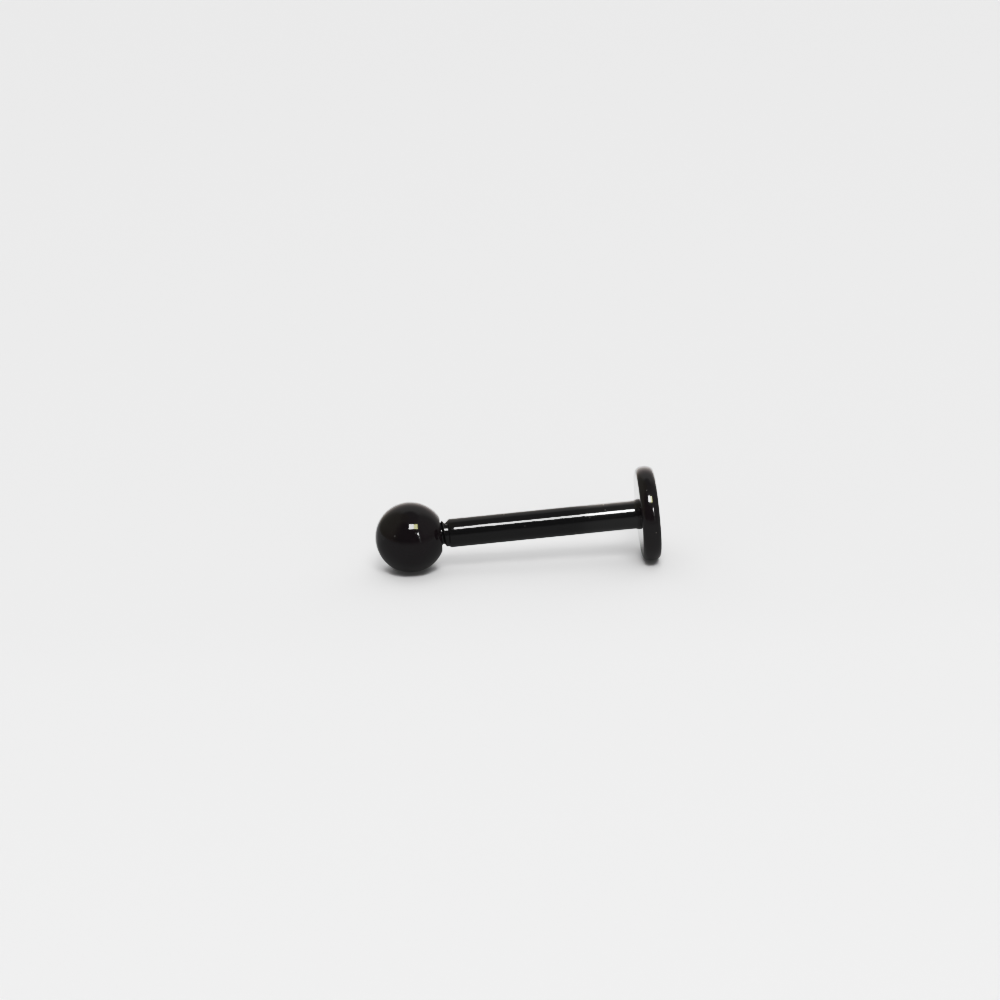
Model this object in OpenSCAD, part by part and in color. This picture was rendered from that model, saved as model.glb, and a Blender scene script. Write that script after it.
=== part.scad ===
// Straight labret stud: a flat disc back and a plain post in one piece,
// with a ball that screws onto the post's threaded end.
// Millimetres, +Z up. The stud lies on its side, on the disc's rim and on the ball,
// and the origin is the middle of its footprint on the surface it lies on.

/* [Post] */
// Diameter of the plain post, 16 gauge
post_d = 1.23; // [1:0.01:1.6]
// Length of the post, from the disc's skin side to the shoulder at the thread
post_len = 8.25; // [5:0.05:14]
// Size of the 45 degree chamfer round the shoulder
shoulder_chamfer = 0.15; // [0.08:0.01:0.16]

/* [Disc back] */
// Diameter of the disc
disc_d = 4.05; // [3:0.05:6]
// Thickness of the disc
disc_t = 0.78; // [0.52:0.02:1.2]
// Radius of the crown across the middle of the disc's rim
rim_crown_r = 0.65; // [0.61:0.01:1]
// Radius of the rim's two rounded edges
rim_edge_r = 0.25; // [0.1:0.01:0.25]
// Length along the post of the bead of weld at the disc
weld_len = 0.17; // [0.1:0.01:0.4]
// Height of the bead of weld above the post
weld_h = 0.04; // [0.02:0.01:0.08]

/* [Thread] */
// Diameter over the thread's crests
thread_d = 1.12; // [0.95:0.01:1.14]
// Distance between one crest and the next
thread_pitch = 0.25; // [0.2:0.01:0.35]
// Depth of the thread, from crest to root
thread_depth = 0.12; // [0.1:0.01:0.15]
// Length of the threaded end beyond the shoulder
thread_len = 2.2; // [1.6:0.1:3]
// Size of the 45 degree chamfer at the thread's tip
tip_chamfer = 0.16; // [0.14:0.01:0.2]
// Place of the crest on the upper side, beyond the shoulder
crest_offset = 0.115; // [0.05:0.005:0.3]

/* [Ball] */
// Diameter of the ball
ball_d = 3; // [2.4:0.1:5]
// Distance from the ball's middle to the flat round its hole
ball_flat = 1.3; // [1.05:0.01:1.33]
// Gap left between the ball's flat and the shoulder
neck_gap = 0.23; // [0.1:0.01:0.4]
// Clearance all round between the thread's crests and the ball's hole
thread_clearance = 0.02; // [0.015:0.005:0.05]
// Space between the thread's tip and the end of the hole
tip_clearance = 0.05; // [0.03:0.01:0.1]
// Size of the 45 degree countersink at the hole's mouth
mouth_chamfer = 0.05; // [0.02:0.01:0.08]

/* [Hidden] */
$fn = 96;
BLACK = [0.09, 0.09, 0.1];

// Sides round the thread, rings in each turn of it, and the length over which it runs in
THREAD_SIDES = 24;
THREAD_RINGS = 8;
RUN_IN = 0.05;
// How far the threaded end reaches back into the post, and how far a cutter passes a face
EMBED = 0.3;
PAST = 1;

post_r = post_d / 2;
disc_r = disc_d / 2;
crest_r = thread_d / 2;
root_r = crest_r - thread_depth;
tip_r = crest_r - tip_chamfer;
ball_r = ball_d / 2;
hole_r = crest_r + thread_clearance;
hole_depth = thread_len - neck_gap + tip_clearance;

// The rim is a crown between two rounded edges, each an arc that touches its neighbour:
// the radii of the rings that their middles make, and how far the edges' stand from the disc's middle.
crown_ring_r = disc_r - rim_crown_r;
edge_off = disc_t / 2 - rim_edge_r;
edge_ring_r = crown_ring_r + sqrt(pow(rim_crown_r - rim_edge_r, 2) - pow(edge_off, 2));

// Radius of the weld bead's arc, whose middle lies in the disc's skin side
weld_r = (weld_len * weld_len + weld_h * weld_h) / (2 * weld_h);

// Places along the stud's axis, from the disc's skin side towards the ball
shoulder_z = post_len;
flat_z = shoulder_z + neck_gap;
ball_z = flat_z + ball_flat;

// The stud lies on the disc's rim and the ball, so its axis dips towards the smaller one.
rim_z = -disc_t / 2;
span = ball_z - rim_z;
tilt = atan2(crown_ring_r, span) - asin((ball_r - rim_crown_r) / norm([span, crown_ring_r]));
low_x = -ball_r;
high_x = (span + edge_off) * cos(tilt) + edge_ring_r * sin(tilt) + rim_edge_r;
ball_x = -(low_x + high_x) / 2;

// Puts the stud's own axis, +Z from the disc towards the ball, where it lies.
module lying() {
    translate([ball_x, 0, ball_r])
        rotate([0, -90 - tilt, 0])
            translate([0, 0, -ball_z])
                children();
}

// Height of the thread's wave at p pitches from a crest: 1 on a crest, 0 at the root.
// The crest is flat for an eighth of the pitch and the root for a quarter.
function thread_wave(p) =
    let (off_crest = abs(p - round(p)))
    max(0, min(1, (3 / 8 - off_crest) / (3 / 8 - 1 / 16)));

// Radius of the threaded end at angle a from the upper side and height z over the shoulder.
function threaded_r(a, z) =
    let (run_in = max(0, min(1, (z - RUN_IN / 2) / RUN_IN)))
    let (wave = thread_wave((z - crest_offset) / thread_pitch - a / 360))
    min(root_r + thread_depth * wave * run_in, tip_r + thread_len - z);

// Heights of the rings of points: one inside the post, then evenly to the tip.
function ring_heights() =
    let (steps = ceil((thread_len - RUN_IN / 2) * THREAD_RINGS / thread_pitch))
    concat(-EMBED, [for (i = [0:steps]) RUN_IN / 2 + (thread_len - RUN_IN / 2) * i / steps]);

// The threaded end, a right-hand helix, swept as rings of points up the axis.
module threaded_end() {
    heights = ring_heights();
    n = THREAD_SIDES;
    last = len(heights) - 1;
    points = [
        for (z = heights) for (k = [0:n - 1])
            let (a = 360 * k / n, r = z < 0 ? root_r : threaded_r(a, z))
            [r * cos(a), r * sin(a), z]
    ];
    sides = [
        for (i = [0:last - 1]) for (k = [0:n - 1])
            let (low = i * n + k, low_next = i * n + (k + 1) % n)
            each [[low, low + n, low_next + n], [low, low_next + n, low_next]]
    ];
    caps = [[for (k = [0:n - 1]) k], [for (k = [n - 1:-1:0]) last * n + k]];
    polyhedron(points, concat(sides, caps), convexity = 4);
}

// The wedge of the rim's section that its crown fills, from the crown's middle past the edges' middles.
module crown_wedge() {
    reach = 2 * rim_crown_r / (rim_crown_r - rim_edge_r);
    out = reach * (edge_ring_r - crown_ring_r);
    polygon([[0, 0], [out, -reach * edge_off], [out, reach * edge_off]]);
}

// The disc with its crowned rim, below z = 0, which is its skin side.
module disc() {
    rotate_extrude() {
        translate([0, -disc_t]) square([edge_ring_r, disc_t]);
        for (side = [-1, 1])
            translate([edge_ring_r, rim_z + side * edge_off]) circle(r = rim_edge_r);
        translate([crown_ring_r, rim_z])
            intersection() {
                circle(r = rim_crown_r);
                crown_wedge();
            }
    }
}

// The bead of weld, a low arc that runs out on the post and is widest at the disc.
module weld_bead() {
    rotate_extrude()
        intersection() {
            translate([post_r + weld_h - weld_r, 0]) circle(r = weld_r);
            square([post_r + weld_h + PAST, weld_len]);
        }
}

// Disc, weld, post and threaded end: one solid piece of metal.
module labret_post() {
    color(BLACK) lying() {
        disc();
        weld_bead();
        translate([0, 0, rim_z]) cylinder(r = post_r, h = shoulder_z - shoulder_chamfer - rim_z);
        translate([0, 0, shoulder_z - shoulder_chamfer])
            cylinder(r1 = post_r, r2 = post_r - shoulder_chamfer, h = shoulder_chamfer);
        translate([0, 0, shoulder_z]) threaded_end();
    }
}

// The blind hole in the ball, with its countersunk mouth at z = 0.
module ball_hole() {
    translate([0, 0, -PAST]) cylinder(r = hole_r, h = PAST + hole_depth);
    translate([0, 0, -mouth_chamfer])
        cylinder(r1 = hole_r + 2 * mouth_chamfer, r2 = hole_r, h = 2 * mouth_chamfer);
}

// The ball, cut flat round its hole on the side of the post.
module ball() {
    color(BLACK) lying()
        difference() {
            translate([0, 0, ball_z]) sphere(r = ball_r);
            translate([-ball_r, -ball_r, flat_z - ball_r]) cube([ball_d, ball_d, ball_r]);
            translate([0, 0, flat_z]) ball_hole();
        }
}

labret_post();
ball();
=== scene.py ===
"""A black labret stud that lies on a pale surface: its two pieces, their finish, the floor and the lights.

Heights run along the stud's own axis, from the disc's skin side (0) towards the ball. They and the radii are
in millimetres until a mesh is made. Everything in Blender is in metres.
"""
import math

import bpy
import numpy as np
from mathutils import Matrix, Vector


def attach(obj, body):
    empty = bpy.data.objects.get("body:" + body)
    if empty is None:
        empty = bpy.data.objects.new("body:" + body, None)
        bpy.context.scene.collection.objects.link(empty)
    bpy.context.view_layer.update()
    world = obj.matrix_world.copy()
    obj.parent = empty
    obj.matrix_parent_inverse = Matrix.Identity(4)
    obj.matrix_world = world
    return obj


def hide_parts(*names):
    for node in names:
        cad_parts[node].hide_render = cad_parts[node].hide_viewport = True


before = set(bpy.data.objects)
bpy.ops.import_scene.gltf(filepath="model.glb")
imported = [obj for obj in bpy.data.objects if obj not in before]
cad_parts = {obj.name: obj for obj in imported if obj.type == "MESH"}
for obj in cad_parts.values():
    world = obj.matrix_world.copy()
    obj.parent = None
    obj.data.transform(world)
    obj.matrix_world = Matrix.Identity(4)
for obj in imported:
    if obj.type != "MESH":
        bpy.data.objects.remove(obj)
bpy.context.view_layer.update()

MM = 0.001

# Post, shoulder and weld
POST_R = 0.615
SHOULDER_Z = 8.25
SHOULDER_CHAMFER = 0.15
SHOULDER_ROUNDING = 0.15
LAND_ROUNDING = 0.03
WELD_LEN = 0.17
WELD_H = 0.04
WELD_R = (WELD_LEN ** 2 + WELD_H ** 2) / (2 * WELD_H)
WELD_FOOT_ROUNDING = 0.018
WELD_END_ROUNDING = 0.12
WELD_FOOT_DEGREES = 4

# Disc back, whose rim is a crown between two rounded edges that touch it
DISC_R = 2.025
DISC_T = 0.78
RIM_CROWN_R = 0.65
RIM_EDGE_R = 0.25
CROWN_RING_R = DISC_R - RIM_CROWN_R
EDGE_OFF = DISC_T / 2 - RIM_EDGE_R
EDGE_RING_R = CROWN_RING_R + math.sqrt((RIM_CROWN_R - RIM_EDGE_R) ** 2 - EDGE_OFF ** 2)

# Thread. The edges of its crest and root are in pitches from the crest's middle.
CREST_R = 0.56
THREAD_DEPTH = 0.12
THREAD_PITCH = 0.25
THREAD_LEN = 2.2
CREST_OFFSET = 0.115
CREST_EDGE = 1 / 16
ROOT_EDGE = 3 / 8
FLANK_EASE = 0.12
THREAD_EASE = 0.010
TIP_CHAMFER = 0.16
TIP_R = CREST_R - TIP_CHAMFER
TIP_ROUNDING = 0.02

# Start of the thread, whose groove fades in over the land at the foot of the shoulder's chamfer
THREAD_ROWS_FROM = -0.2
GROOVE_START = -0.045
GROOVE_FULL = -0.01
CUTTER_CLEAR = 0.35
CUTTER_LIFT = 0.2

# Ball and its hole, whose wall is plain at both ends and has the groove of a tapped thread between them
BALL_R = 1.5
BALL_FLAT = 1.3
NECK_GAP = 0.23
FLAT_Z = SHOULDER_Z + NECK_GAP
BALL_Z = FLAT_Z + BALL_FLAT
FLAT_R = math.sqrt(BALL_R ** 2 - BALL_FLAT ** 2)
FLAT_ROUNDING = 0.03
SPHERE_START_DEGREES = 1.2
THREAD_CLEARANCE = 0.02
TIP_CLEARANCE = 0.05
HOLE_R = CREST_R + THREAD_CLEARANCE
HOLE_END_Z = SHOULDER_Z + THREAD_LEN + TIP_CLEARANCE
HOLE_END_WALL = 0.1
HOLE_END_ROUNDING = 0.03
MOUTH = 0.05
MOUTH_WALL = 0.02
MOUTH_ROUNDING = 0.01
GROOVE_DEPTH = 0.06
GROOVE_FADE_AT_MOUTH = 0.08
GROOVE_FADE_AT_END = 0.1

# How the stud lies: on the disc's rim and on the ball, so that its axis dips towards the smaller one
SPAN = BALL_Z + DISC_T / 2
TILT = math.atan2(CROWN_RING_R, SPAN) - math.asin((BALL_R - RIM_CROWN_R) / math.hypot(SPAN, CROWN_RING_R))
DISC_REACH = (SPAN + EDGE_OFF) * math.cos(TILT) + EDGE_RING_R * math.sin(TILT) + RIM_EDGE_R
BALL_X = (BALL_R - DISC_REACH) / 2
TOWARDS_BALL = np.array([-math.cos(TILT), 0.0, -math.sin(TILT)])
UPPER_SIDE = np.array([-math.sin(TILT), 0.0, math.cos(TILT)])
REAR_SIDE = np.array([0.0, 1.0, 0.0])
BALL_MIDDLE = np.array([BALL_X, 0.0, BALL_R])

# Fineness of the surfaces
SIDES = 160
POST_THREAD_STEP = THREAD_PITCH / 32
HOLE_THREAD_STEP = THREAD_PITCH / 20
LONGEST_STEP = 0.25


def arc(middle, radius, start, end, count):
    """Points (radius, height) of a circle: its middle plus its radius times cosine and sine of even angles.

    start and end are in degrees.
    """
    angle = np.radians(np.linspace(start, end, count))
    return np.stack([middle[0] + radius * np.cos(angle), middle[1] + radius * np.sin(angle)], -1)


def softened(corners, radii, count=7):
    """The line through the corners, where each inner one is an arc of its radius that touches both sides."""
    corners = np.asarray(corners, float)
    parts = [corners[:1]]
    for before, corner, after, radius in zip(corners[:-2], corners[1:-1], corners[2:], radii):
        back = (before - corner) / np.linalg.norm(before - corner)
        ahead = (after - corner) / np.linalg.norm(after - corner)
        half = math.acos(float(back @ ahead)) / 2
        middle = corner + (back + ahead) / np.linalg.norm(back + ahead) * radius / math.sin(half)
        first = corner + back * radius / math.tan(half) - middle
        last = corner + ahead * radius / math.tan(half) - middle
        swing = math.pi - 2 * half
        share = np.linspace(0, 1, count)[:, None]
        bend = np.sin((1 - share) * swing) * first + np.sin(share * swing) * last
        parts.append(middle + bend / math.sin(swing))
    parts.append(corners[-1:])
    return np.concatenate(parts)


def stepped(line, longest=LONGEST_STEP):
    """The same line with even points added, so that no step in it is longer than longest."""
    steps = np.linalg.norm(np.diff(line, axis=0), axis=1)
    pieces = np.maximum(1, np.ceil(steps / longest)).astype(int)
    place = np.repeat(np.arange(len(steps)), pieces)
    share = (np.arange(len(place)) - np.repeat(np.cumsum(pieces) - pieces, pieces)) / pieces[place]
    inner = line[place] + (line[place + 1] - line[place]) * share[:, None]
    return np.concatenate([inner, line[-1:]])


def eased(x):
    """A ramp from 0 to 1 with rounded ends: the mean of x, held between 0 and 1, over FLANK_EASE each way."""
    def area(t):
        """The area under the plain ramp, up to t."""
        return np.where(t < 0, 0, np.where(t > 1, t - 0.5, t * t / 2))

    return (area(x + FLANK_EASE) - area(x - FLANK_EASE)) / (2 * FLANK_EASE)


def from_crest(height, angle):
    """Pitches from the first crest at a height over the shoulder: (height - offset) / pitch - turns."""
    return (height - CREST_OFFSET) / THREAD_PITCH - angle / (2 * np.pi)


def flank(height, angle):
    """How far up the thread's flank a place lies: 0 at the root's edge, 1 at the crest's, more on the crest.

    It falls evenly with the distance from the middle of the nearest crest.
    """
    p = from_crest(height, angle)
    off_crest = np.abs(p - np.round(p))
    return (ROOT_EDGE - off_crest) / (ROOT_EDGE - CREST_EDGE)


def cutter_r(height, angle):
    """Radius of the thread cutter's surface round the post at a height over the shoulder and an angle.

    It follows root, flank and crest, and stands clear of the bar on the crest's middle. Where a groove's own
    middle lies lower than GROOVE_FULL it is lifted by a smooth step, until at GROOVE_START it clears the bar.
    """
    p = from_crest(height, angle)
    middle = height - THREAD_PITCH * (p - np.floor(p) - 0.5)
    share = np.clip((middle - GROOVE_START) / (GROOVE_FULL - GROOVE_START), 0, 1)
    lift = CUTTER_LIFT * (1 - share * share * (3 - 2 * share))
    slope = flank(height, angle)
    return CREST_R - THREAD_DEPTH * (1 - eased(slope)) + CUTTER_CLEAR * np.maximum(slope - 1, 0) + lift


def lesser(a, b, blend):
    """The lesser of a and b, with the change from one to the other rounded over blend."""
    return (a + b - np.sqrt((a - b) ** 2 + blend ** 2)) / 2


def ring_angles():
    """The angles of the points of a ring, from the upper side towards the rear."""
    return 2 * np.pi * np.arange(SIDES) / SIDES


def round_piece(name, heights, radii):
    """A closed surface round the stud's axis, from the pole at the first height to the pole at the last.

    Between them row i is a ring: the point at angle a stands at the axis point of heights[i] plus radii[i, a]
    times (cosine a of the upper side plus sine a of the rear side).
    """
    angle = ring_angles()
    radii = np.broadcast_to(np.asarray(radii, float).reshape(len(heights), -1), (len(heights), SIDES))
    axis = BALL_MIDDLE + (heights[:, None] - BALL_Z) * TOWARDS_BALL
    spoke = np.cos(angle)[:, None] * UPPER_SIDE + np.sin(angle)[:, None] * REAR_SIDE
    rings = axis[1:-1, None, :] + radii[1:-1, :, None] * spoke
    points = np.concatenate([axis[:1], rings.reshape(-1, 3), axis[-1:]]) * MM

    row = np.arange(len(heights) - 3)[:, None] * SIDES + 1
    here = np.arange(SIDES)[None, :]
    beyond = (here + 1) % SIDES
    quads = np.stack([row + here, row + beyond, row + SIDES + beyond, row + SIDES + here], -1).reshape(-1, 4)
    last = len(points) - 1
    final = last - SIDES
    first_cap = np.stack([np.zeros(SIDES, int), 1 + beyond[0], 1 + here[0]], -1)
    last_cap = np.stack([np.full(SIDES, last), final + here[0], final + beyond[0]], -1)

    corner = points[quads]
    volume = np.einsum("ij,ij->", corner[:, 0], np.cross(corner[:, 1], corner[:, 2]))
    volume += np.einsum("ij,ij->", corner[:, 0], np.cross(corner[:, 2], corner[:, 3]))
    turn = 1 if volume > 0 else -1
    faces = first_cap[:, ::turn].tolist() + quads[:, ::turn].tolist() + last_cap[:, ::turn].tolist()

    mesh = bpy.data.meshes.new(name)
    mesh.from_pydata(points.tolist(), [], faces)
    mesh.polygons.foreach_set("use_smooth", np.ones(len(mesh.polygons), bool))
    mesh.update()
    piece = bpy.data.objects.new(name, mesh)
    bpy.context.scene.collection.objects.link(piece)
    return piece


def post_outline():
    """(radius, height) from the middle of the disc's outer face, over rim, skin side and weld, up the post.

    The rim is three arcs, edge, crown and edge, and the weld an arc that runs out on the post.
    """
    meet = math.degrees(math.asin(EDGE_OFF / (RIM_CROWN_R - RIM_EDGE_R)))
    outer_edge = arc((EDGE_RING_R, -DISC_T / 2 - EDGE_OFF), RIM_EDGE_R, -90, -meet, count=15)
    crown = arc((CROWN_RING_R, -DISC_T / 2), RIM_CROWN_R, -meet, meet, count=15)
    inner_edge = arc((EDGE_RING_R, -DISC_T / 2 + EDGE_OFF), RIM_EDGE_R, meet, 90, count=15)
    rim = np.concatenate([outer_edge, crown[1:-1], inner_edge])

    on_skin_side = (1.2, 0.0)
    on_post = (POST_R, 0.6)
    weld_end = math.degrees(math.asin(WELD_LEN / WELD_R))
    weld = arc((POST_R + WELD_H - WELD_R, 0.0), WELD_R, WELD_FOOT_DEGREES, weld_end, count=9)
    foot = softened([on_skin_side, (weld[0, 0], 0.0), weld[1]], [WELD_FOOT_ROUNDING], count=6)
    shank = softened([weld[-2], weld[-1], on_post], [WELD_END_ROUNDING], count=6)
    first_row = (POST_R, SHOULDER_Z + THREAD_ROWS_FROM)
    return np.concatenate([[(0.0, -DISC_T)], rim, foot, weld[2:-2], shank[1:], [first_row]])


def labret_post():
    """Disc, weld, post and threaded end in one surface: the outline turned round the axis, then the thread.

    The radius of each row of the thread is the least of the turned bar's, the thread cutter's and the tip's
    chamfer. The cutter leaves the cone that carries the shoulder's chamfer on towards the thread's root.
    """
    plain = stepped(post_outline())
    angle = ring_angles()[None, :]
    top = SHOULDER_Z + THREAD_LEN
    height = np.arange(plain[-1, 1] + POST_THREAD_STEP, top, POST_THREAD_STEP)[:, None]
    over = height - SHOULDER_Z
    shoulder = softened(
        [
            (POST_R, -4 * SHOULDER_CHAMFER),
            (POST_R, -SHOULDER_CHAMFER),
            (CREST_R, POST_R - SHOULDER_CHAMFER - CREST_R),
            (CREST_R, THREAD_LEN),
        ],
        [SHOULDER_ROUNDING, LAND_ROUNDING])
    bar = np.interp(over, shoulder[:, 1], shoulder[:, 0])
    cone = POST_R - SHOULDER_CHAMFER - over
    cut = cutter_r(over, angle)
    cut = cut + cone - lesser(cut, cone, THREAD_EASE)
    threaded = lesser(bar, cut, THREAD_EASE)
    threaded = lesser(threaded, TIP_R + THREAD_LEN - over, THREAD_EASE)

    run = 0.05
    tip = softened([(TIP_R + run, top - run), (TIP_R, top), (0.0, top)], [TIP_ROUNDING], count=5)[1:]
    tip = np.concatenate([tip[:-1], [(TIP_R * 0.5, top), (0.0, top)]])
    tip = tip[tip[:, 1] > height[-1, 0]]
    heights = np.concatenate([plain[:, 1], height[:, 0], tip[:, 1]])
    radii = np.concatenate([np.repeat(plain[:, :1], SIDES, 1), threaded, np.repeat(tip[:, :1], SIDES, 1)])
    return round_piece("post_piece", heights, radii)


def ball():
    """The ball from its hole's end, up the bore, over the countersunk mouth and the flat, round the sphere.

    The bore's radius has a groove of the thread's wave cut outwards, so that it looks tapped and stays clear.
    """
    wall_top = HOLE_END_Z - HOLE_END_WALL
    on_end = (0.3, HOLE_END_Z)
    bore = softened([on_end, (HOLE_R, HOLE_END_Z), (HOLE_R, wall_top)], [HOLE_END_ROUNDING], count=5)
    bore_low = FLAT_Z + MOUTH
    inner = np.arange(bore[-1, 1] - HOLE_THREAD_STEP, bore_low + MOUTH_WALL, -HOLE_THREAD_STEP)
    inner = np.stack([np.full_like(inner, HOLE_R), inner], -1)
    edge_angle = math.degrees(math.asin(BALL_FLAT / BALL_R))
    past_edge = 0.08
    mouth = softened(
        [
            (HOLE_R, bore_low + MOUTH_WALL),
            (HOLE_R, bore_low),
            (HOLE_R + MOUTH, FLAT_Z),
            (FLAT_R, FLAT_Z),
            (FLAT_R + past_edge, FLAT_Z + past_edge * FLAT_R / BALL_FLAT),
        ],
        [MOUTH_ROUNDING, MOUTH_ROUNDING, FLAT_ROUNDING], count=6)[:-1]
    sphere = arc((0.0, BALL_Z), BALL_R, SPHERE_START_DEGREES - edge_angle, 90, count=84)[:-1]
    outline = np.concatenate([[(0.0, HOLE_END_Z)], bore, inner, mouth, sphere, [(0.0, BALL_Z + BALL_R)]])

    height = outline[:, 1:]
    in_bore = np.zeros((len(outline), 1))
    in_bore[1 + len(bore):1 + len(bore) + len(inner)] = 1
    fade = np.clip((height - bore_low) / GROOVE_FADE_AT_MOUTH, 0, 1)
    fade = fade * np.clip((wall_top - height) / GROOVE_FADE_AT_END, 0, 1)
    groove = GROOVE_DEPTH * eased(flank(height - SHOULDER_Z, ring_angles()[None, :])) * fade * in_bore
    return round_piece("ball_piece", outline[:, 1], outline[:, :1] + groove)


class Value:
    """A shader node's output. Sums, differences and products of values and numbers add their Math nodes."""

    def __init__(self, shader, socket):
        self.shader = shader
        self.socket = socket

    def _math(self, operation, first, second):
        return self.shader.add("ShaderNodeMath", {"operation": operation}, {0: first, 1: second})

    def __add__(self, other):
        return self._math("ADD", self, other)

    __radd__ = __add__

    def __sub__(self, other):
        return self._math("SUBTRACT", self, other)

    def __rsub__(self, other):
        return self._math("SUBTRACT", other, self)

    def __mul__(self, other):
        return self._math("MULTIPLY", self, other)

    __rmul__ = __mul__


class Shader:
    """The node tree of a material or of the world."""

    def __init__(self, owner):
        owner.use_nodes = True
        self.tree = owner.node_tree
        self.tree.nodes.clear()

    def add(self, kind, settings=None, inputs=None, output=0):
        """Adds a node: its settings first, then the values or links of its sockets. Gives one output.

        Sockets go by name, or by number where a node has several of one name.
        """
        node = self.tree.nodes.new(kind)
        for name, value in (settings or {}).items():
            setattr(node, name, value)
        for name, value in (inputs or {}).items():
            if isinstance(value, Value):
                self.tree.links.new(value.socket, node.inputs[name])
            else:
                node.inputs[name].default_value = value
        if not node.outputs:
            return None
        return Value(self, node.outputs[output])

    def noise(self, vector, scale, detail=2.0, roughness=0.5):
        """Noise from 0 to 1, with scale in waves a metre."""
        inputs = {"Vector": vector, "Scale": scale, "Detail": detail, "Roughness": roughness}
        return self.add("ShaderNodeTexNoise", None, inputs)

    def ramp(self, value, low, high, to_low=0.0, to_high=1.0):
        """A smooth step in value from to_low at low to to_high at high."""
        return self.add(
            "ShaderNodeMapRange", {"interpolation_type": "SMOOTHSTEP"},
            {"Value": value, "From Min": low, "From Max": high, "To Min": to_low, "To Max": to_high})

    def mix(self, share, first, second):
        """The first colour where share is 0, the second where it is 1."""
        return self.add("ShaderNodeMix", {"data_type": "RGBA"}, {0: share, 6: first, 7: second}, output=2)

    def stretched(self, vector, x, y, z):
        """The vector with each of its parts multiplied."""
        return self.add("ShaderNodeVectorMath", {"operation": "MULTIPLY"}, {0: vector, 1: (x, y, z)})

    def part(self, vector, name):
        """One part of a vector: X, Y or Z."""
        return self.add("ShaderNodeSeparateXYZ", None, {"Vector": vector}, output=name)

    def is_glossy(self):
        """1 for a ray that a gloss sends out, otherwise 0."""
        return self.add("ShaderNodeLightPath", output="Is Glossy Ray")


# Finish of the black coating, with colours in linear light. Each pattern is noise of so many waves a metre,
# fewer of them along the axis in some, and comes in between two levels of the noise.
COATING_WARM = (0.0092, 0.0061, 0.0076, 1.0)
COATING_COOL = (0.0070, 0.0070, 0.0074, 1.0)
COATING_IOR = 1.33
DRIFT_WAVES = 700.0
DRIFT_LEVELS = (0.3, 0.7)
DRIFT_LEAST = 0.6
GLOSS_LOW = 0.045
GLOSS_HIGH = 0.085
SMEAR_WAVES = 1100.0
SMEAR_LEVELS = (0.35, 0.75)
HAIRLINE_ROUGHNESS = 0.03
HAIRLINE_WAVES = 9000.0
HAIRLINE_ALONG = 0.25
HAIRLINE_LEVELS = (0.62, 0.70)

# Dust, in cells a metre: a speck's radius as a share of its cell, the levels of chance, and metres of height
DUST_COLOUR = (0.22, 0.21, 0.19, 1.0)
DUST_ROUGHNESS = 0.5
DUST_CELLS = 2600.0
DUST_RADIUS = (0.05, 0.08)
DUST_CHANCE = (0.45, 0.65)
DUST_HEIGHT = 2.0e-6

# Steel, where patches of the coating are rubbed off
STEEL_COLOUR = (0.30, 0.29, 0.28, 1.0)
STEEL_ROUGHNESS = 0.15
PATCH_WAVES = 5000.0
PATCH_LEVELS = (0.48, 0.62)
LEAST_RUBBED = 0.3
MOST_RUBBED = 0.7

# Soft outer lustre of the post
LUSTRE_IOR = 1.5
LUSTRE_ROUGHNESS = 0.16
LUSTRE_LEFT = 0.07
LUSTRE_CLEAN = 0.68
LUSTRE_SMEARED = 0.85
ON_DISC = 0.3

# Relief: polishing rings, slow waves and ripples, with their waves a metre and the share of these round or
# along the axis. Heights are in metres on each piece, and the ripples' is a share of the slow waves'.
RING_WAVES = 14000.0
RING_AROUND = 0.02
SLOW_WAVES = 2200.0
SLOW_ALONG = 0.35
RIPPLE_WAVES = 5000.0
RIPPLE_ALONG = 0.6
POST_RINGS = 1.2e-7
POST_WAVINESS = 3.0e-6
BALL_RINGS = 4.0e-8
BALL_WAVINESS = 1.5e-6
RIPPLE_SHARE = 1.6

# Where the finish changes along the axis, in metres from the ball's middle: from the first place to the next
THREAD_TIP_AT = (-0.75 * MM, -0.70 * MM)
THREAD_FOOT_AT = (1.44 * MM, 1.46 * MM)
LEFT_LUSTRE_AT = (3.4 * MM, 5.6 * MM)
RIGHT_LUSTRE_AT = (6.8 * MM, 8.4 * MM)
DISC_AT = (9.6 * MM, 9.75 * MM)
POST_WARM_AT = (9.5 * MM, 9.9 * MM)
BALL_WARM_AT = (-2.2 * MM, -1.8 * MM)

# Radii in metres over which the thread's rubbed crests begin and end
CREST_INSIDE_AT = (0.545 * MM, 0.557 * MM)
CREST_OUTSIDE_AT = (0.566 * MM, 0.574 * MM)


def on_the_axis(shader):
    """Object coordinates turned so that x runs along the stud from the ball's middle towards the disc."""
    turn = Matrix.Rotation(TILT, 3, "Y")
    shift = turn @ Vector(BALL_MIDDLE * MM)
    place = shader.add("ShaderNodeTexCoord", output="Object")
    return shader.add(
        "ShaderNodeMapping", None,
        {"Vector": place, "Location": tuple(-shift), "Rotation": (0.0, TILT, 0.0)})


def dusty(shader, place):
    """1 on a speck of dust, otherwise 0: the middles of scattered cells, and of some of those cells alone."""
    scattered = {"feature": "F1", "distance": "EUCLIDEAN"}
    cells = {"Vector": place, "Scale": DUST_CELLS, "Randomness": 1.0}
    off_middle = shader.add("ShaderNodeTexVoronoi", scattered, cells, output="Distance")
    chance = shader.add("ShaderNodeTexVoronoi", scattered, cells, output="Color")
    return shader.ramp(off_middle, *DUST_RADIUS, 1.0, 0.0) * shader.ramp(chance, *DUST_CHANCE)


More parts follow.
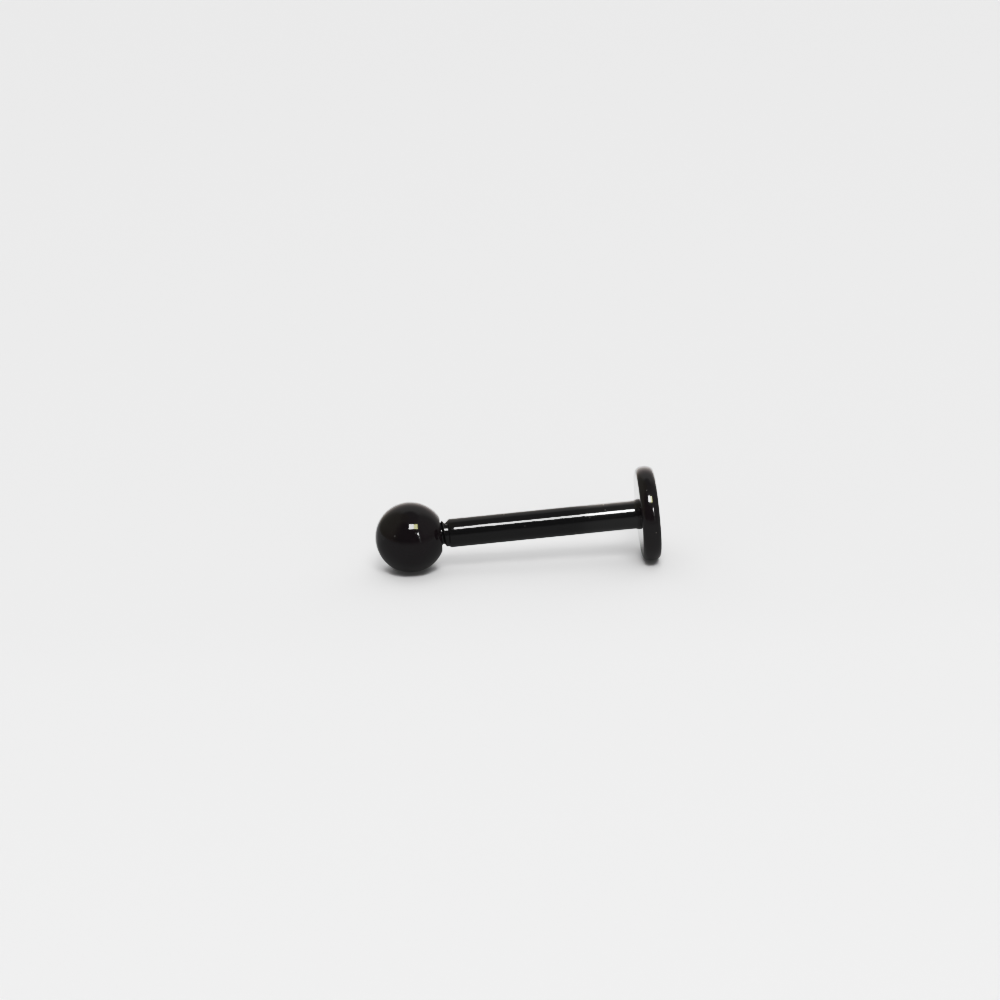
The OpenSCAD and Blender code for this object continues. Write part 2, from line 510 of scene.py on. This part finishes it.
def rubbed_crests(shader, place, along):
    """How far the coating is rubbed off: in patches, where radius and height are the thread crests'."""
    sides = shader.stretched(place, 0.0, 1.0, 1.0)
    from_axis = shader.add("ShaderNodeVectorMath", {"operation": "LENGTH"}, {0: sides}, output="Value")
    threaded = shader.ramp(along, *THREAD_TIP_AT) * shader.ramp(along, *THREAD_FOOT_AT, 1.0, 0.0)
    crest = shader.ramp(from_axis, *CREST_INSIDE_AT) * shader.ramp(from_axis, *CREST_OUTSIDE_AT, 1.0, 0.0)
    patches = shader.ramp(shader.noise(place, PATCH_WAVES, 3.0), *PATCH_LEVELS, LEAST_RUBBED, MOST_RUBBED)
    return crest * threaded * patches


def gloss_black(name, turned, wavy, warm_at, is_post):
    """The coating: near black, warmer on ball and disc, with dust, smears, hairlines and a little waviness.

    turned is the height in metres of the polishing rings round the axis, and wavy that of the slow waves.
    Ripples lie on the waves. The warmer tint comes in over warm_at along the axis, with a slow drift where it
    does. The post also has rubbed crests on its thread, and a soft outer lustre, strongest next to the disc,
    faint next to the ball and less on the disc, where the ripples are lower too.
    """
    material = bpy.data.materials.new(name)
    shader = Shader(material)
    place = on_the_axis(shader)
    along = shader.part(place, "X")
    drift = shader.ramp(shader.noise(place, DRIFT_WAVES), *DRIFT_LEVELS, DRIFT_LEAST, 1.0)
    dust = dusty(shader, place)
    smears = shader.ramp(shader.noise(place, SMEAR_WAVES, 4.0, 0.6), *SMEAR_LEVELS)
    hairlines = shader.noise(shader.stretched(place, HAIRLINE_ALONG, 1.0, 1.0), HAIRLINE_WAVES, 3.0, 0.7)
    hairlines = shader.ramp(hairlines, *HAIRLINE_LEVELS)

    colour = shader.mix(shader.ramp(along, *warm_at) * drift, COATING_COOL, COATING_WARM)
    colour = shader.mix(dust, colour, DUST_COLOUR)
    gloss = GLOSS_LOW + smears * (GLOSS_HIGH - GLOSS_LOW)
    gloss = gloss + hairlines * HAIRLINE_ROUGHNESS + dust * DUST_ROUGHNESS
    rings = shader.noise(shader.stretched(place, 1.0, RING_AROUND, RING_AROUND), RING_WAVES, 3.0, 0.6)
    waves = shader.noise(shader.stretched(place, SLOW_ALONG, 1.0, 1.0), SLOW_WAVES, 1.0)
    ripples = shader.noise(shader.stretched(place, RIPPLE_ALONG, 1.0, 1.0), RIPPLE_WAVES, 1.0)

    worn = 0.0
    lustre = 0.0
    if is_post:
        worn = rubbed_crests(shader, place, along)
        colour = shader.mix(worn, colour, STEEL_COLOUR)
        gloss = gloss + worn * STEEL_ROUGHNESS
        off_disc = shader.ramp(along, *DISC_AT, 1.0, ON_DISC)
        ripples = ripples * off_disc
        left_end = shader.ramp(along, *LEFT_LUSTRE_AT, LUSTRE_LEFT, 0.0)
        right_end = shader.ramp(along, *RIGHT_LUSTRE_AT) * off_disc
        lustre = (left_end + right_end) * shader.ramp(smears, 0.0, 1.0, LUSTRE_CLEAN, LUSTRE_SMEARED)

    height = rings * turned + waves * wavy + ripples * (wavy * RIPPLE_SHARE) + dust * DUST_HEIGHT
    bump = shader.add("ShaderNodeBump", None, {"Strength": 1.0, "Distance": 1.0, "Height": height})
    surface = shader.add(
        "ShaderNodeBsdfPrincipled", None,
        {
            "Base Color": colour,
            "Roughness": gloss,
            "Metallic": worn,
            "IOR": COATING_IOR,
            "Coat Weight": lustre,
            "Coat Roughness": LUSTRE_ROUGHNESS,
            "Coat IOR": LUSTRE_IOR,
            "Normal": bump,
        })
    shader.add("ShaderNodeOutputMaterial", None, {"Surface": surface})
    return material


# Camera at the photograph's angle: degrees, metres, and millimetres for the lens
CAMERA_AZIMUTH = -4.087
CAMERA_ELEVATION = 20.5
CAMERA_ROLL = -1.571
CAMERA_DISTANCE = 0.300
CAMERA_LENS = 253.25
SENSOR_WIDTH = 36.0
AIM_RIGHT = -0.0007755
AIM_UP = 0.0027412


def sky(azimuth, elevation):
    """The direction at an azimuth, from the front towards the right, and an elevation, both in degrees."""
    a = math.radians(azimuth)
    e = math.radians(elevation)
    return Vector((math.sin(a) * math.cos(e), -math.cos(a) * math.cos(e), math.sin(e)))


def camera_axes():
    """Right, up and back of the camera, after its roll."""
    back = sky(CAMERA_AZIMUTH, CAMERA_ELEVATION)
    right = sky(CAMERA_AZIMUTH + 90, 0)
    up = back.cross(right)
    turn = Matrix.Rotation(math.radians(CAMERA_ROLL), 3, back)
    return turn @ right, turn @ up, back


def add_camera():
    right, up, back = camera_axes()
    data = bpy.data.cameras.new("camera")
    data.lens = CAMERA_LENS
    data.sensor_width = SENSOR_WIDTH
    data.clip_start = 0.001
    data.clip_end = 50.0
    camera = bpy.data.objects.new("camera", data)
    bpy.context.scene.collection.objects.link(camera)
    camera.location = right * AIM_RIGHT + up * AIM_UP + back * CAMERA_DISTANCE
    camera.rotation_mode = "QUATERNION"
    camera.rotation_quaternion = Matrix((right, up, back)).transposed().to_quaternion()
    bpy.context.scene.camera = camera


# Floor, in metres and linear light: its shade, the painted light that makes it paler in front, what the gloss
# shows of it, with painted shade in front of and under the stud and painted light behind it, and from which
# place to which, towards the rear, each of these changes
FLOOR_HALF = 3.0
FLOOR_SHADE = 0.865
FLOOR_ROUGHNESS = 0.9
FLOOR_FRONT_PAINTED_LIGHT = 0.012
FLOOR_GLOSS_PAINTED_SHADE_FRONT = 0.36
FLOOR_GLOSS_PAINTED_SHADE_UNDER = 0.62
FLOOR_GLOSS_PAINTED_LIGHT_BEHIND = 1.0
GLOSS_FRONT_SHADE_AT = (-0.030, -0.002)
GLOSS_BEHIND_LIGHT_AT = (0.0, 0.004)
FRONT_PAINTED_LIGHT_AT = (-0.004, -0.012)

# What the gloss shows of the room, and the middle of the bright sheet behind, from the rear towards the right
ROOM_SHINE = 0.05
WALL_SHINE = 0.48
LOW_WALL_SHARE = 0.55
SHEET_SHINE = 0.95
HORIZON_SHINE = 0.2
CEILING_SHINE = 0.28
PLAIN_TINT = (1.04, 1.0, 0.98)
YELLOW_TINT = (1.1, 1.0, 0.72)
SHEET_MIDDLE = math.radians(12.0)

# Soft light on the floor: what comes evenly, and what a band low in front, the back and the top add to it
AMBIENT = 0.29
LOW_FRONT = 1.2
BACK = 0.6
TOP = 0.55

# Where the room and the soft light change, as the cosine of the angle from the sheet's middle
WALLS_AT = (-0.95, -0.4)
SHEET_AT = (0.5, 0.87)
SOFT_FRONT_AT = (-0.5, -0.77)
SOFT_BACK_AT = (0.3, 0.7)

# The same as the upward part of the direction, and for the yellow side as its part towards the right
HORIZON_AT = (-0.02, 0.12)
WALL_HEIGHT_AT = (0.0, 0.45)
CEILING_AT = (0.87, 0.95)
SOFT_FRONT_TOP_AT = (0.24, 0.44)
SOFT_TOP_AT = (0.8, 0.93)
YELLOW_AT = (-0.3, -0.85)

# Panels. The window's and the strip's reflections stand at these shares of the ball's radius, right and up.
LIGHT_DISTANCE = 0.8
WHITE = (1.0, 1.0, 1.0)
PALE_YELLOW = (1.0, 1.0, 0.68)
WINDOW_LEFT = -0.04
WINDOW_BAR = 0.098
WINDOW_RIGHT = 0.212
WINDOW_LOW = 0.228
WINDOW_HIGH = 0.362
WINDOW_RADIANCE = 29.0
RIGHT_PANE_SHARE = 0.66
STRIP_RADIANCE = 25.0

# Each part of the strip: its name, its share of the radiance, and its corners, lower left first
STRIP_PARTS = [
    ("strip_top", 1.0, [(0.207, 0.055), (0.262, 0.045), (0.242, 0.135), (0.197, 0.125)]),
    ("strip_middle", 0.35, [(0.262, -0.045), (0.285, -0.045), (0.262, 0.045), (0.227, 0.05)]),
    ("strip_foot", 0.06, [(0.285, -0.16), (0.315, -0.16), (0.29, -0.045), (0.262, -0.045)]),
]

# Key, whose corners are azimuths and elevations in degrees
KEY_RADIANCE = 9.6
KEY_CORNERS = [(-14, 45), (22, 45), (22, 66), (-14, 66)]


def add_floor():
    """A wide flat sheet, pale and matt, at the height that the stud lies on, with painted light that makes it
    a little paler in front.

    What the gloss shows of it has painted shade: dimmer towards the camera, where the room is dark. Behind
    the stud it is full, with painted light that makes it paler there than the paper itself.
    """
    h = FLOOR_HALF
    mesh = bpy.data.meshes.new("floor")
    mesh.from_pydata([(-h, -h, 0), (h, -h, 0), (h, h, 0), (-h, h, 0)], [], [(0, 1, 2, 3)])
    floor = bpy.data.objects.new("floor", mesh)
    bpy.context.scene.collection.objects.link(floor)
    material = bpy.data.materials.new("floor_paper")
    shader = Shader(material)
    rearward = shader.part(shader.add("ShaderNodeTexCoord", output="Object"), "Y")
    # Painted light: the paper is painted a little paler in front of the stud.
    paper_with_painted_light = FLOOR_SHADE + shader.ramp(rearward, *FRONT_PAINTED_LIGHT_AT) * FLOOR_FRONT_PAINTED_LIGHT
    # Painted shade and light in reflections: the floor the gloss shows is painted dimmer in front of and
    # under the stud, and paler than the paper behind it.
    painted_light_and_shade_in_gloss = shader.ramp(rearward, *GLOSS_FRONT_SHADE_AT, FLOOR_GLOSS_PAINTED_SHADE_FRONT, FLOOR_GLOSS_PAINTED_SHADE_UNDER)
    painted_light_and_shade_in_gloss = painted_light_and_shade_in_gloss + shader.ramp(rearward, *GLOSS_BEHIND_LIGHT_AT) * (FLOOR_GLOSS_PAINTED_LIGHT_BEHIND - FLOOR_GLOSS_PAINTED_SHADE_UNDER)
    colour = shader.mix(shader.is_glossy(), paper_with_painted_light, painted_light_and_shade_in_gloss)
    surface = shader.add(
        "ShaderNodeBsdfPrincipled", None,
        {"Base Color": colour, "Roughness": FLOOR_ROUGHNESS, "Specular IOR Level": 0.0})
    shader.add("ShaderNodeOutputMaterial", None, {"Surface": surface})
    mesh.materials.append(material)


def seen_on_ball(right_part, up_part):
    """The direction of a light whose reflection in a round ball stands at that share of the ball's radius.

    With n the ball's normal there, it is the view turned about n: 2 (n back) n - back.
    """
    right, up, back = camera_axes()
    towards = math.sqrt(1 - right_part ** 2 - up_part ** 2)
    normal = right * right_part + up * up_part + back * towards
    return normal * (2 * towards) - back


def add_panel(name, directions, radiance, seen_by, tint=WHITE):
    """A flat glowing panel with its corners in four directions from the stud, lower left first."""
    mesh = bpy.data.meshes.new(name)
    mesh.from_pydata([tuple(direction * LIGHT_DISTANCE) for direction in directions], [], [(0, 1, 2, 3)])
    panel = bpy.data.objects.new(name, mesh)
    bpy.context.scene.collection.objects.link(panel)
    material = bpy.data.materials.new(name)
    shader = Shader(material)
    glow = shader.add("ShaderNodeEmission", None, {"Color": (*tint, 1.0), "Strength": radiance})
    shader.add("ShaderNodeOutputMaterial", None, {"Surface": glow})
    mesh.materials.append(material)
    panel.visible_camera = False
    panel.visible_shadow = False
    panel.visible_diffuse = seen_by == "diffuse"
    panel.visible_glossy = seen_by == "glossy"
    panel.visible_transmission = False


def add_lights():
    """A window's two panes and a thin upright strip that show in the gloss, and a soft key for the floor."""
    panes = [
        ("window_left", WINDOW_LEFT, WINDOW_BAR, WINDOW_RADIANCE, WHITE),
        ("window_right", WINDOW_BAR, WINDOW_RIGHT, WINDOW_RADIANCE * RIGHT_PANE_SHARE, PALE_YELLOW),
    ]
    for name, near, far, radiance, tint in panes:
        corners = [(near, WINDOW_LOW), (far, WINDOW_LOW), (far, WINDOW_HIGH), (near, WINDOW_HIGH)]
        add_panel(name, [seen_on_ball(*corner) for corner in corners], radiance, "glossy", tint)
    for name, share, corners in STRIP_PARTS:
        add_panel(name, [seen_on_ball(*corner) for corner in corners], STRIP_RADIANCE * share, "glossy")
    add_panel("key", [sky(*corner) for corner in KEY_CORNERS], KEY_RADIANCE, "diffuse")


def add_world():
    """What the gloss shows: a bright sheet behind, dim walls aside, a dark room in front and a dim ceiling.

    It is yellower on the left. Diffuse light is even but for what the white surroundings add: a band low in
    front, the back and the top.
    """
    world = bpy.data.worlds.new("studio")
    bpy.context.scene.world = world
    shader = Shader(world)
    direction = shader.add("ShaderNodeTexCoord", output="Generated")
    height = shader.part(direction, "Z")
    compass = shader.add(
        "ShaderNodeVectorMath", {"operation": "NORMALIZE"}, {0: shader.stretched(direction, 1, 1, 0)})
    sheet_middle = (math.sin(SHEET_MIDDLE), math.cos(SHEET_MIDDLE), 0.0)
    behind = shader.add(
        "ShaderNodeVectorMath", {"operation": "DOT_PRODUCT"}, {0: compass, 1: sheet_middle}, output="Value")

    walls = shader.ramp(behind, *WALLS_AT, ROOM_SHINE, WALL_SHINE)
    walls = walls * shader.ramp(height, *WALL_HEIGHT_AT, LOW_WALL_SHARE, 1.0)
    sheet = shader.ramp(behind, *SHEET_AT) * SHEET_SHINE
    horizon = shader.ramp(height, *HORIZON_AT, HORIZON_SHINE, 0.0)
    level = walls + sheet + horizon
    level = level + shader.ramp(height, *CEILING_AT) * (CEILING_SHINE - level)
    on_the_left = shader.ramp(shader.part(compass, "X"), *YELLOW_AT)
    plain = shader.stretched(level, *PLAIN_TINT)
    yellow = shader.stretched(level, *YELLOW_TINT)
    glossy = shader.mix(on_the_left, plain, yellow)
    glossy = shader.add("ShaderNodeBackground", None, {"Color": glossy, "Strength": 1.0})

    low_front = shader.ramp(behind, *SOFT_FRONT_AT) * shader.ramp(height, *SOFT_FRONT_TOP_AT, 1.0, 0.0)
    soft = AMBIENT + low_front * LOW_FRONT
    soft = soft + shader.ramp(behind, *SOFT_BACK_AT) * BACK + shader.ramp(height, *SOFT_TOP_AT) * TOP
    soft = shader.add("ShaderNodeBackground", None, {"Color": soft, "Strength": 1.0})
    both = shader.add("ShaderNodeMixShader", None, {0: shader.is_glossy(), 1: soft, 2: glossy})
    shader.add("ShaderNodeOutputWorld", None, {"Surface": both})


# Tones of the photograph, as (plain level, shown level) out of 255: deep blacks and lifted pale greys
TONES = [
    (24, 20), (38, 31), (60, 42), (95, 66), (130, 128),
    (163, 188), (190, 209), (205, 220), (229, 233.5), (238, 239),
]


def linear(level):
    """Linear light of a display level out of 255, by the sRGB formula."""
    level = level / 255
    return level / 12.92 if level <= 0.04045 else ((level + 0.055) / 1.055) ** 2.4


def set_tones():
    """A plain view with the contrast of the photograph."""
    view = bpy.context.scene.view_settings
    view.view_transform = "Standard"
    view.use_curve_mapping = True
    all_colours = view.curve_mapping.curves[3]
    for plain, shown in TONES:
        all_colours.points.new(linear(plain), linear(shown))
    for point in all_colours.points:
        point.handle_type = "AUTO_CLAMPED"
    view.curve_mapping.update()


add_camera()

post_piece = labret_post()
post_coating = gloss_black("post_gloss_black", POST_RINGS, POST_WAVINESS, POST_WARM_AT, True)
post_piece.data.materials.append(post_coating)
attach(post_piece, "post")
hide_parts("labret_post")

ball_piece = ball()
ball_coating = gloss_black("ball_gloss_black", BALL_RINGS, BALL_WAVINESS, BALL_WARM_AT, False)
ball_piece.data.materials.append(ball_coating)
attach(ball_piece, "ball")
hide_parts("ball")

add_floor()
add_lights()
add_world()
set_tones()
